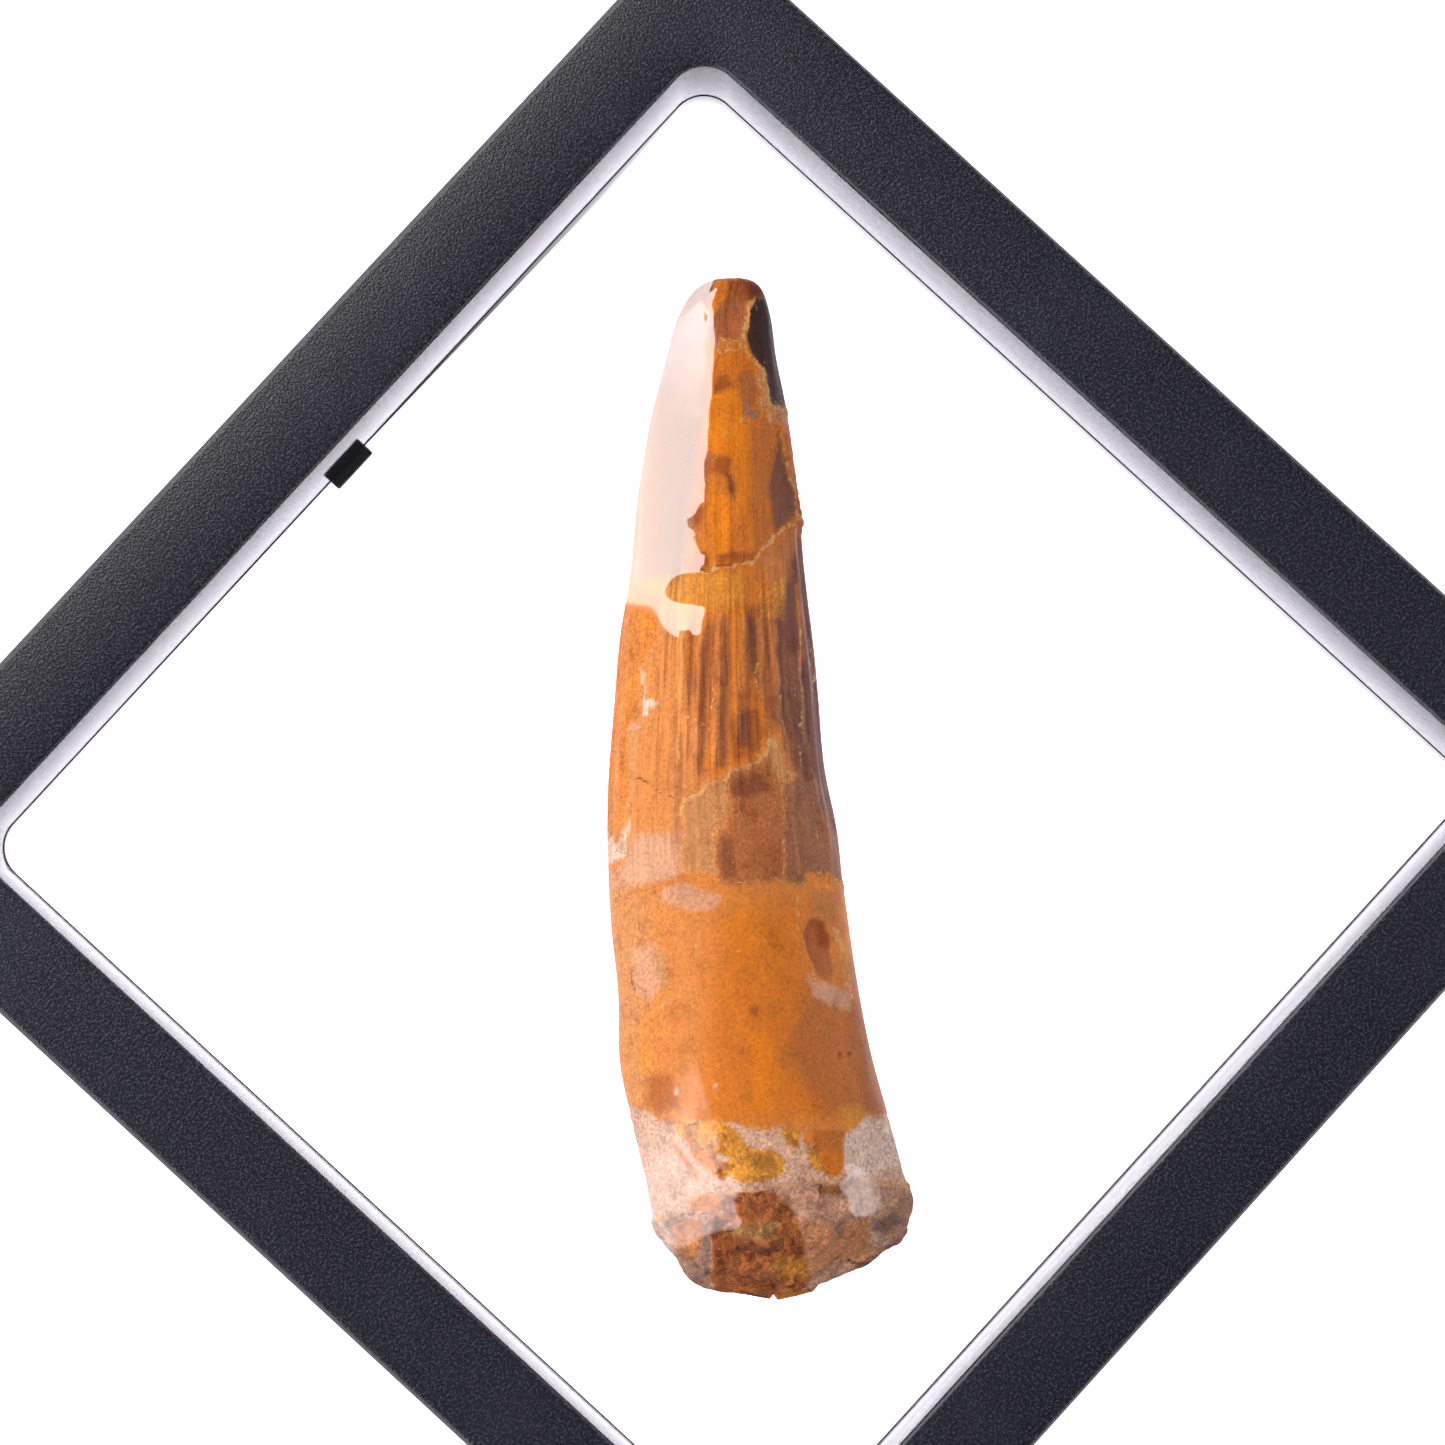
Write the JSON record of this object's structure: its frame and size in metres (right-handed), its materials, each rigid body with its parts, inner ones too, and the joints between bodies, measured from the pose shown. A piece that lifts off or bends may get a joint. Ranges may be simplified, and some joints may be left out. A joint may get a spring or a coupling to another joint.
{
  "type": "framed fossil tooth",
  "caption": "Square hinged display frame whose clear stretched films hold a long conical fossil tooth floating between them, lying flat on its back.",
  "frame": {"origin": "centre of the object's bounding box at the back face that it lies on", "axes": "+Z from the back face out through the front face; +X along the hinge; +Y from the hinge side to the latch side"},
  "size_m": [0.11, 0.1118, 0.02],
  "materials": {
    "frame_plastic": "satin",
    "clear_film": "gloss",
    "fossil_tooth": "satin"
  },
  "bodies": {
    "back_half": {"back_frame": "frame_plastic", "back_film": "clear_film", "tooth": "fossil_tooth"},
    "front_half": {"front_frame": "frame_plastic", "front_film": "clear_film"}
  },
  "joints": [
    {"name": "frame_hinge", "type": "hinge", "parent": "back_half", "child": "front_half", "pos_m": [0, -0.05427, 0.01], "axis": [1, 0, 0], "range_deg": [0, 180]}
  ]
}
